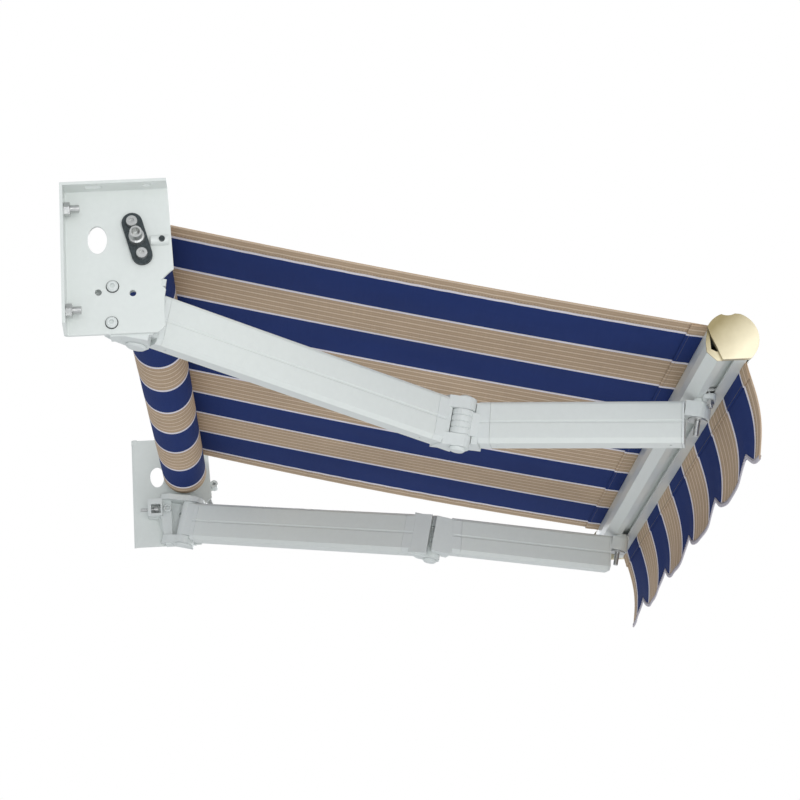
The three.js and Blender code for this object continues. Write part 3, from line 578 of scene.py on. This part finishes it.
def canvas_material(name, stripes=True, base=None):
    """Woven acrylic canvas: stripes across, yarns both ways with painted shade in their dips, faint fading
    and a soft sheen.
    """
    if name in MATERIALS:
        return MATERIALS[name]
    s, c = sizes(), colours()
    material, n, shader = new_material(name)
    uv = n.add("ShaderNodeUVMap", uv_map="cloth").outputs[0]
    here = n.add("ShaderNodeTexCoord").outputs["Object"]
    weave = n.group(shared("weave"), {"Cloth": uv, "Yarn": s.yarn, "Slub": 0.25})
    if stripes:
        split = n.add("ShaderNodeSeparateXYZ", {0: uv})
        drift = n.math("MULTIPLY", n.math("SUBTRACT", n.noise(uv, 60.0, 2.0), 0.5), 0.0008)
        paint = n.group(shared("stripes"), {
            "Across": n.math("ADD", split.outputs[0], drift), "Repeat": s.repeat,
            "Blue Width": s.blue_width, "Line Width": s.line_width, "Pin Width": s.pin_width,
            "Pin Step": s.pin_step, "Blue": rgb(c.blue), "Sand": rgb(c.sand), "Dark Sand": rgb(c.dark_sand),
            "Pin": rgb(c.pin), "Line": rgb(c.line),
        }).outputs["Color"]
    else:
        fade = n.ramp(n.noise(here, 35.0, 3.0), 0.3, 0.7, 0.0, 0.18)
        paint = n.mix(fade, rgb(base), rgb([v * 0.72 for v in base]))
    cloud = n.ramp(n.noise(here, 7.0, 4.0, 0.6), 0.25, 0.75, 0.90, 1.06)
    # The weave's painted shade, times a random tone over the cloth.
    tone = n.math("MULTIPLY", weave.outputs["Shade"], cloud)
    shade = n.add("ShaderNodeCombineXYZ", {0: tone, 1: tone, 2: tone}).outputs[0]
    n.put(shader.inputs["Base Color"], n.mix(1.0, paint, shade, "MULTIPLY"))
    n.put(shader.inputs["Roughness"], n.ramp(weave.outputs["Height"], 0.0, 1.0, 0.92, 0.74))
    crease = n.math("MULTIPLY", n.noise(here, 22.0, 3.0), 3.0)
    height = n.math("ADD", weave.outputs["Height"], crease)
    bump = n.add("ShaderNodeBump", {"Strength": 0.35, "Distance": 0.00022, "Height": height})
    n.put(shader.inputs["Normal"], bump.outputs[0])
    shader.inputs["Sheen Weight"].default_value = 0.02
    shader.inputs["Sheen Roughness"].default_value = 0.45
    shader.inputs["Specular IOR Level"].default_value = 0.10
    MATERIALS[name] = material
    return material


def thread_material():
    """Twisted sewing thread: a fine diagonal ply on dark polyester, with painted shade in the grooves between
    plies.
    """
    if "thread" in MATERIALS:
        return MATERIALS["thread"]
    material, n, shader = new_material("sewing_thread")
    here = n.add("ShaderNodeTexCoord").outputs["Object"]
    ply = n.add("ShaderNodeTexWave", {"Vector": here, "Scale": 900.0, "Distortion": 0.6},
                wave_type="BANDS", bands_direction="DIAGONAL")
    # Painted shade: the thread is darker in the ply's grooves and lighter on its crowns, following the same
    # bands as the bump.
    tint = n.mix(ply.outputs["Fac"], (0.085, 0.075, 0.07, 1), (0.16, 0.14, 0.125, 1))
    n.put(shader.inputs["Base Color"], tint)
    n.put(shader.inputs["Roughness"], n.ramp(n.noise(here, 400.0), 0.3, 0.7, 0.45, 0.65))
    bump = n.add("ShaderNodeBump", {"Strength": 0.4, "Distance": 0.0001, "Height": ply.outputs["Fac"]})
    n.put(shader.inputs["Normal"], bump.outputs[0])
    MATERIALS["thread"] = material
    return material


def painted_material(name, base, fine, bump, rough, wear_radius=0.0010, wear=0.20, coat=0.0):
    """Stoved enamel over metal: orange peel or cast grain, slightly darker worn edges and dust on top."""
    material, n, shader = new_material(name)
    grain = n.group(shared("grain"), {"Fine Scale": fine, "Broad Scale": fine / 7, "Fine Share": 0.55})
    worn = n.group(shared("wear"), {"Radius": wear_radius, "Dust Scale": 22.0})
    darker, lighter = rgb([v * 0.985 for v in base]), rgb([min(1, v * 1.01) for v in base])
    tint = n.mix(n.ramp(grain.outputs["Value"], 0.3, 0.7), darker, lighter)
    tint = n.mix(n.math("MULTIPLY", worn.outputs["Edge"], wear), tint, (0.40, 0.41, 0.40, 1))
    tint = n.mix(n.math("MULTIPLY", worn.outputs["Dust"], 0.05), tint, (0.42, 0.39, 0.34, 1))
    n.put(shader.inputs["Base Color"], tint)
    base_rough = n.ramp(grain.outputs["Height"], 0.25, 0.75, rough - 0.07, rough + 0.07)
    dusty = n.math("MULTIPLY", worn.outputs["Dust"], 0.08)
    n.put(shader.inputs["Roughness"], n.math("ADD", base_rough, dusty))
    node = n.add("ShaderNodeBump", {"Strength": 0.5, "Distance": bump, "Height": grain.outputs["Height"]})
    n.put(shader.inputs["Normal"], node.outputs[0])
    shader.inputs["Coat Weight"].default_value = coat
    shader.inputs["Coat Roughness"].default_value = 0.18
    return material


def metal_material(name, base, rough, streak, mottled=0.0, wear=0.5, thread=0.0):
    """Plated or phosphated steel: turning marks, a mottled plating and brighter rubbed edges. A screw
    thread, where there is one, is bands along Y."""
    material, n, shader = new_material(name)
    here = n.add("ShaderNodeTexCoord").outputs["Object"]
    grain = n.group(shared("grain"), {"Fine Scale": 2200.0, "Broad Scale": 240.0, "Fine Share": 0.4})
    worn = n.group(shared("wear"), {"Radius": 0.0006, "Dust Scale": 60.0})
    marks = n.add("ShaderNodeTexWave", {"Vector": here, "Scale": streak, "Distortion": 2.0, "Detail": 2.0},
                  wave_type="RINGS", rings_direction="X")
    cell = n.add("ShaderNodeTexVoronoi", {"Vector": here, "Scale": 420.0}).outputs["Color"]
    flake = n.add("ShaderNodeSeparateXYZ", {0: cell}).outputs[0]
    tint = n.mix(n.math("MULTIPLY", flake, mottled), rgb(base), rgb([v * 0.45 for v in base]))
    tint = n.mix(n.ramp(grain.outputs["Value"], 0.35, 0.65, 0.0, 0.25), tint, rgb([v * 0.6 for v in base]))
    tint = n.mix(n.math("MULTIPLY", worn.outputs["Edge"], wear), tint, (0.62, 0.62, 0.60, 1))
    n.put(shader.inputs["Base Color"], tint)
    shader.inputs["Metallic"].default_value = 0.9
    n.put(shader.inputs["Roughness"], n.ramp(grain.outputs["Height"], 0.25, 0.75, rough - 0.1, rough + 0.12))
    height = n.math("ADD", grain.outputs["Height"], n.math("MULTIPLY", marks.outputs["Fac"], 0.5))
    if thread:
        groove = n.add("ShaderNodeTexWave", {"Vector": here, "Scale": math.pi / 10 / thread},
                       wave_type="BANDS", bands_direction="Y")
        height = n.math("ADD", height, n.math("MULTIPLY", groove.outputs["Fac"], 4.0))
    bump = n.add("ShaderNodeBump", {"Strength": 0.4, "Distance": 0.00012, "Height": height})
    n.put(shader.inputs["Normal"], bump.outputs[0])
    return material


def gold_material(cap):
    """Pale gold plating: painted shade, a soft blend from the darker rear upper side to the front lower side
    of the cap, hairlines from wiping and darker rims."""
    material, n, shader = new_material("gold_plating")
    c = colours()
    here = n.add("ShaderNodeTexCoord").outputs["Object"]
    low, high = np.array(cap.bound_box).min(0), np.array(cap.bound_box).max(0)
    (_, mid_y, mid_z), radius = (low + high) / 2, (high[2] - low[2]) / 2
    split = n.add("ShaderNodeSeparateXYZ", {0: here})
    # Painted shade: back and top set a gradient that darkens the rear upper side of the cap, standing for how
    # it is lit.
    back = n.math("MULTIPLY", n.math("SUBTRACT", split.outputs[1], float(mid_y)), 0.62)
    top = n.math("MULTIPLY", n.math("SUBTRACT", split.outputs[2], float(mid_z)), 0.78)
    shade = n.ramp(n.math("ADD", back, top), float(-0.75 * radius), float(0.85 * radius))
    stretched = n.add(
        "ShaderNodeMapping", {"Vector": here, "Scale": (1.0, 90.0, 1400.0), "Rotation": (0.5, 0.0, 0.0)}
    )
    hair = n.noise(stretched.outputs[0], 1.0, 2.0, 0.7)
    smear = n.noise(here, 45.0, 3.0, 0.6)
    worn = n.group(shared("wear"), {"Radius": 0.0009, "Dust Scale": 40.0})
    shade = n.math("ADD", shade, n.ramp(smear, 0.35, 0.7, -0.04, 0.04))
    # The painted shade mixes the gold towards its darker shade colour; the smear above adds a little random
    # tone.
    tint = n.mix(shade, rgb(c.gold), rgb(c.gold_painted_shade))
    tint = n.mix(n.math("MULTIPLY", worn.outputs["Edge"], 0.6), tint, (0.30, 0.24, 0.13, 1))
    n.put(shader.inputs["Base Color"], tint)
    shader.inputs["Metallic"].default_value = 0.8
    dull = n.math("ADD", n.ramp(smear, 0.3, 0.7, 0.36, 0.42), n.math("MULTIPLY", hair, 0.05))
    n.put(shader.inputs["Roughness"], dull)
    bump = n.add("ShaderNodeBump", {"Strength": 0.12, "Distance": 0.00004, "Height": hair})
    n.put(shader.inputs["Normal"], bump.outputs[0])
    return material


def tube_material():
    """Galvanised steel: crystals of zinc as flat cells of a Voronoi pattern, with a drawn grain along X."""
    material, n, shader = new_material("galvanised_tube")
    here = n.add("ShaderNodeTexCoord").outputs["Object"]
    cell = n.add("ShaderNodeTexVoronoi", {"Vector": here, "Scale": 130.0}).outputs["Color"]
    flake = n.add("ShaderNodeSeparateXYZ", {0: cell}).outputs[1]
    stretched = n.add("ShaderNodeMapping", {"Vector": here, "Scale": (12.0, 900.0, 900.0)})
    drawn = n.noise(stretched.outputs[0], 1.0)
    n.put(shader.inputs["Base Color"], n.mix(flake, (0.36, 0.38, 0.39, 1), (0.58, 0.60, 0.61, 1)))
    shader.inputs["Metallic"].default_value = 0.9
    n.put(shader.inputs["Roughness"], n.ramp(flake, 0.0, 1.0, 0.32, 0.5))
    height = n.math("ADD", flake, drawn)
    bump = n.add("ShaderNodeBump", {"Strength": 0.3, "Distance": 0.0001, "Height": height})
    n.put(shader.inputs["Normal"], bump.outputs[0])
    return material


# Which finish each node of the frame has, by the start of its name.
FINISHES = {
    "enamel": ("side_plate", "upper_arm", "forearm", "front_bar", "cover_lug", "gearbox"),
    "casting": (
        "shoulder_bracket", "shoulder_fitting", "shoulder_screw", "shoulder_nut", "shoulder_pin",
        "elbow_fork", "elbow_pin", "elbow_knuckle", "wrist_fitting", "wrist_seat",
    ),
    "thread": ("wall_stud", "adjusting_screw"),
    "zinc": (
        "wall_nut", "bearing_stud", "bearing_screw", "clamp_bolt", "wrist_pin",
        "crank_eye",
    ),
    "phosphate": ("bearing_plate", "cover_screw"),
    "plug": ("roller_plug",),
    "tube": ("roller_tube",),
    "gold": ("end_cap",),
}


# Operators ---------------------------------------------------------------------------------------


class AWNING_OT_studio(Operator):
    """Camera, soft lights, pale floor and even surroundings."""

    bl_idname = "awning.studio"
    bl_label = "Studio"

    def execute(self, context):
        scene = context.scene
        scene.view_settings.view_transform = "Standard"
        camera = bpy.data.cameras.new("camera")
        camera.lens, camera.sensor_width, camera.clip_start, camera.clip_end = 101.25, 36.0, 0.05, 60.0
        eye = bpy.data.objects.new("camera", camera)
        scene.collection.objects.link(eye)
        right, up = Vector((-0.04031, -0.99725, -0.06213)), Vector((-0.28250, -0.04827, 0.95805))
        turned = Matrix((right, up, right.cross(up))).transposed().to_4x4()
        eye.matrix_world = Matrix.Translation((-3.3604, -0.2619, -1.0074)) @ turned
        scene.camera = eye

        size, height = 9.0, -1.75
        corner = np.array([[-1, -1], [1, -1], [1, 1], [-1, 1]]) * size
        floor = bpy.data.meshes.new("floor")
        floor.from_pydata([(x, y, height) for x, y in corner], [], [(0, 1, 2, 3)])
        paper, n, shader = new_material("studio_paper")
        here = n.add("ShaderNodeTexCoord").outputs["Object"]
        tone = n.ramp(n.noise(here, 3.0), 0.3, 0.7)
        base = colours().paper
        n.put(shader.inputs["Base Color"], n.mix(tone, rgb([v * 0.97 for v in base]), rgb(base)))
        shader.inputs["Roughness"].default_value = 0.9
        floor.materials.append(paper)
        ground = bpy.data.objects.new("floor", floor)
        scene.collection.objects.link(ground)

        world = bpy.data.worlds.new("surroundings")
        world.use_nodes = True
        scene.world = world
        w = Nodes(world.node_tree)
        world.node_tree.nodes.clear()
        seen = w.add("ShaderNodeBackground", {"Color": (1, 1, 1, 1), "Strength": 1.0})
        cast = w.add("ShaderNodeBackground", {"Color": (0.94, 0.965, 1.0, 1), "Strength": 0.70})
        camera_ray = w.add("ShaderNodeLightPath").outputs["Is Camera Ray"]
        both = w.add("ShaderNodeMixShader", {0: camera_ray, 1: cast.outputs[0], 2: seen.outputs[0]})
        w.add("ShaderNodeOutputWorld", {"Surface": both.outputs[0]})

        target = Vector((0.0, -0.45, 0.0))
        for name, place, power, wide, tint in (
            ("key_light", (-11.5, -3.4, 0.2), 225.0, 4.6, (1.0, 0.985, 0.96)),
            ("low_light", (-4.0, -0.7, -1.45), 44.0, 1.4, (0.97, 0.985, 1.0)),
            ("front_light", (0.8, -4.2, 0.4), 36.0, 2.4, (1.0, 0.99, 0.97)),
            ("far_light", (3.6, -1.2, 1.2), 30.0, 2.0, (0.96, 0.98, 1.0)),
        ):
            lamp = bpy.data.lights.new(name, "AREA")
            lamp.energy, lamp.size, lamp.color = power, wide, tint
            light = bpy.data.objects.new(name, lamp)
            light.location = place
            light.rotation_euler = (target - Vector(place)).to_track_quat("-Z", "Y").to_euler()
            scene.collection.objects.link(light)
        return {"FINISHED"}


class AWNING_OT_canopy(Operator):
    """Canopy: one hemmed sheet from the roll to the bar, with its cord, pocket hem and sewing."""

    bl_idname = "awning.canopy"
    bl_label = "Canopy"

    def execute(self, context):
        s = sizes()
        path, taut = canopy_path()
        run = np.concatenate([[0], np.cumsum(np.linalg.norm(np.diff(path, axis=0), axis=1))])
        cloth, width = hemmed_sheet(
            "canopy_cloth", canopy_surface, run, run, canvas_material("canvas"), "frame",
        )
        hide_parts("canopy")
        start = float(run[ARC_POINTS - 1])
        open_end = float(run[taut - 1])
        seams = []
        step = s.stitch_step
        seam = CLOTH_HALF - s.hem + 0.004
        line = places(start + 0.006, open_end - 0.006, step)
        for x in (-seam, seam):
            seams.append(stitch_line(canopy_surface, np.full(len(line), x), line, -s.thickness * 2.35))
            seams.append(stitch_line(canopy_surface, np.full(len(line), x), line, s.thickness * 0.62))
        across = places(-CLOTH_HALF + 0.004, CLOTH_HALF - 0.004, step)
        pocket_seam = open_end - s.pocket + 0.0045
        seams.append(stitch_line(canopy_surface, across, pocket_seam, s.thickness * 3.1))
        stitching = sew("canopy_stitching", seams, thread_material(), "frame")
        turn = np.linspace(0, 2 * math.pi, 12, endpoint=False)
        ends = np.array([-1, -1, 1, 1]) * (CLOTH_HALF - 0.001)
        radius = np.array([0.0, 1, 1, 0.0]) * 0.0013 + 1e-5
        centre = BEAD + ends[:, None, None] * ACROSS
        ring_points = centre + radius[:, None, None] * (
            np.cos(turn)[None, :, None] * ALONG + np.sin(turn)[None, :, None] * NORMAL)
        cord = mesh_piece("canopy_cord", ring_points, grid_quads(4, 12, wrap=True), cord_material())
        for piece in (cloth, stitching, cord):
            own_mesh(piece)
        return {"FINISHED"}


def cord_material():
    """White polymer cord inside a pocket."""
    if "cord" not in MATERIALS:
        MATERIALS["cord"] = painted_material("keder_cord", (0.62, 0.62, 0.60), 1800.0, 0.00005, 0.5, wear=0.0)
    return MATERIALS["cord"]


class AWNING_OT_roll(Operator):
    """Cloth wound on the roller, as one spiral sheet."""

    bl_idname = "awning.roll"
    bl_label = "Wound cloth"

    def execute(self, context):
        s = sizes()
        angle, radius = spiral(s.turns)
        half = CLOTH_HALF - 0.0022
        across = np.linspace(-half, half, 83)
        thick_hem = 0.00028 * smoothstep(np.abs(across), half - s.hem - 0.004, half - s.hem + 0.002)
        uneven = 0.00008 * np.sin(across * 41.0)
        r = radius[:, None] + (thick_hem + uneven)[None, :] - 0.00028
        shift = 0.0013 * np.sin(angle * 0.83)[:, None] * (across / half)[None, :] ** 8
        x = across[None, :] + shift
        lead = angle[:, None] - angle[-1] + math.radians(2)
        points = (
            ROLL_CENTRE + x[..., None] * ACROSS
            + (r * np.sin(lead))[..., None] * ALONG + (r * np.cos(lead))[..., None] * NORMAL
        )
        run = np.concatenate([[0], np.cumsum(np.diff(angle) * (radius[1:] + radius[:-1]) / 2)])
        uv = np.stack(np.broadcast_arrays(across[None, :], run[:, None]), -1)
        cloth = mesh_piece(
            "roll_cloth", points, grid_quads(len(angle), len(across)), canvas_material("canvas"), uv, "roller"
        )
        thicken(cloth, s.thickness)
        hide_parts("fabric_roll")
        return {"FINISHED"}


class AWNING_OT_valance(Operator):
    """Scalloped valance under the bar, with its binding tape, pocket hem and sewing."""

    bl_idname = "awning.valance"
    bl_label = "Valance"

    def execute(self, context):
        s = sizes()
        hem = -LOOP_SHARE - np.linspace(1, 0, 8) * POCKET_SHARE
        rows = np.concatenate([hem, -np.linspace(1, 0, 11)[1:-1] * LOOP_SHARE, np.linspace(0, 1, 40)])
        lengths = np.where(rows < 0, rows * s.pocket / POCKET_SHARE, rows * DROP)
        cloth, width = hemmed_sheet(
            "valance_cloth", valance_surface, rows, lengths, canvas_material("canvas"), "bar",
        )
        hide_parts("valance")
        across = np.linspace(-CLOTH_HALF, CLOTH_HALF, 389)
        edge, run, down, n = frame_of(valance_surface, across, np.full(len(across), 1 - 2e-4))
        run = np.gradient(edge, axis=0)
        run /= np.linalg.norm(run, axis=1, keepdims=True)
        inward = np.cross(run, n)
        inward *= np.sign((inward * -down).sum(1, keepdims=True))
        gap = s.thickness / 2 + 0.00045
        hemmed = hem_layer(across, 0.006)
        wide = s.binding
        depth = np.array([wide, wide * 0.5, 0.0, -0.0005, -0.0008, -0.0005, 0.0, wide * 0.5, wide])
        side = np.array([-1.0, -1.08, -1.0, -0.62, 0.0, 0.62, 1.0, 1.08, 1.0]) * gap
        offset = side[None, :] - hemmed[:, None] * (side < 0)
        tape = edge[:, None] + depth[None, :, None] * inward[:, None] + offset[..., None] * n[:, None]
        uv = np.stack(np.broadcast_arrays(across[:, None], depth[None, :]), -1)
        binding = mesh_piece(
            "valance_binding", tape, grid_quads(len(across), len(depth)),
            canvas_material("binding_tape", False, colours().tape), uv, "bar",
        )
        thicken(binding, 0.0005)
        tape_place = 1 - (wide - 0.0014) / scallop_length(across[::2])
        step = s.stitch_step
        seam = CLOTH_HALF - s.hem + 0.004
        drop = places(0.09, 0.93, step / DROP)
        line = places(-CLOTH_HALF + 0.004, CLOTH_HALF - 0.004, step)
        pocket = (s.pocket - 0.004) / scallop_length(line)
        seams = [
            stitch_line(valance_surface, line, pocket, 0.0010 + s.thickness * 1.1),
            stitch_line(valance_surface, line, pocket, -s.thickness * 0.62 - hem_layer(line)),
            stitch_line(valance_surface, across[::2], tape_place, gap + 0.0004),
            stitch_line(valance_surface, across[::2], tape_place, -gap - 0.0004 - hem_layer(across[::2])),
        ]
        for x in (-seam, seam):
            seams.append(stitch_line(valance_surface, np.full(len(drop), x), drop, s.thickness * 0.62))
            seams.append(stitch_line(valance_surface, np.full(len(drop), x), drop, -s.thickness * 2.35))
        stitching = sew("valance_stitching", seams, thread_material(), "bar")
        return {"FINISHED"}


class AWNING_OT_recess_shade(Operator):
    """Painted shade round the heads of the shoulder screws: a dark ring, an ellipse turned about each screw,
    stands for the shade in the recess round each head.
    """

    bl_idname = "awning.washers"
    bl_label = "Recess shade"

    def execute(self, context):
        steps, sides = 48, 8
        turn = np.linspace(0, 2 * math.pi, steps, endpoint=False)[:, None]
        section = np.linspace(0, 2 * math.pi, sides, endpoint=False)[None, :]
        radius = 0.00795 + 0.00055 * np.cos(section)
        out = 0.0002 + 0.00045 * np.sin(section) * np.ones((steps, 1))
        i, j = np.meshgrid(np.arange(steps), np.arange(sides), indexing="ij")
        k, m = (i + 1) % steps, (j + 1) % sides
        corners = [i * sides + j, k * sides + j, k * sides + m, i * sides + m]
        quads = np.stack(corners, -1).reshape(-1, 4)
        points, faces = [], []
        for side, sign in (("left", -1), ("right", 1)):
            for label in ("upper", "lower"):
                low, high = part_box(f"shoulder_screw_{label}_{side}")
                y = (low.y + high.y) / 2 + sign * radius * np.cos(turn)
                z = (low.z + high.z) / 2 + radius * np.sin(turn)
                points.append(np.stack([sign * (HALF_PLATE + out), y, z], -1).reshape(-1, 3))
                faces.append(quads + steps * sides * len(faces))
        # Painted shade: a near-black ring where the recess round each screw head lies in shade.
        black = metal_material("painted_recess_shade", (0.045, 0.05, 0.052), 0.5, 300.0, wear=0.1)
        mesh_piece(
            "screw_recess_shade", np.concatenate(points), np.concatenate(faces), black,
        )
        return {"FINISHED"}


class AWNING_OT_finishes(Operator):
    """Procedural finishes on every node of the frame."""

    bl_idname = "awning.finishes"
    bl_label = "Finishes"

    def execute(self, context):
        c = colours()
        made = {
            "enamel": painted_material("stoved_enamel", tuple(c.enamel), 900.0, 0.00010, 0.36, coat=0.15),
            "casting": painted_material("cast_enamel", tuple(c.casting), 1300.0, 0.00022, 0.44),
            "zinc": metal_material("bright_zinc", tuple(c.zinc), 0.34, 900.0),
            "thread": metal_material("threaded_zinc", tuple(c.zinc), 0.34, 900.0, thread=0.0015),
            "phosphate": metal_material(
                "dark_phosphate", tuple(c.phosphate), 0.48, 300.0, mottled=0.6, wear=0.3,
            ),
            "plug": painted_material("moulded_plug", tuple(c.plug), 2400.0, 0.00008, 0.5, wear=0.1),
            "tube": tube_material(),
            "gold": gold_material(NODES["end_cap_left"]),
        }
        for name, node in NODES.items():
            if name in ("canopy", "valance", "fabric_roll"):
                continue
            finish = [key for key, starts in FINISHES.items() if name.startswith(starts)]
            if len(finish) != 1:
                raise RuntimeError(f"{name} needs exactly one finish, and has {finish}")
            for slot in node.material_slots:
                slot.material = made[finish[0]]
        return {"FINISHED"}


class AWNING_PT_panel(Panel):
    """Sizes, colours and steps of the awning."""

    bl_label = "Awning"
    bl_idname = "AWNING_PT_panel"
    bl_space_type = "VIEW_3D"
    bl_region_type = "UI"
    bl_category = "Awning"

    def draw(self, context):
        for holder in (context.scene.awning_sizes, context.scene.awning_colours):
            box = self.layout.box()
            for key in holder.__annotations__:
                box.prop(holder, key)
        for step in STEPS:
            self.layout.operator(step.bl_idname)


STEPS = (
    AWNING_OT_studio, AWNING_OT_canopy, AWNING_OT_roll, AWNING_OT_valance, AWNING_OT_recess_shade,
    AWNING_OT_finishes,
)
CLASSES = (AwningSizes, AwningColours, *STEPS, AWNING_PT_panel)


def register():
    for cls in CLASSES:
        bpy.utils.register_class(cls)
    bpy.types.Scene.awning_sizes = PointerProperty(type=AwningSizes)
    bpy.types.Scene.awning_colours = PointerProperty(type=AwningColours)


def unregister():
    del bpy.types.Scene.awning_sizes
    del bpy.types.Scene.awning_colours
    for cls in reversed(CLASSES):
        bpy.utils.unregister_class(cls)


def main():
    register()
    bpy.ops.awning.studio()
    bpy.ops.awning.canopy()
    bpy.ops.awning.roll()
    bpy.ops.awning.valance()
    bpy.ops.awning.washers()
    bpy.ops.awning.finishes()


if __name__ == "__main__":
    main()
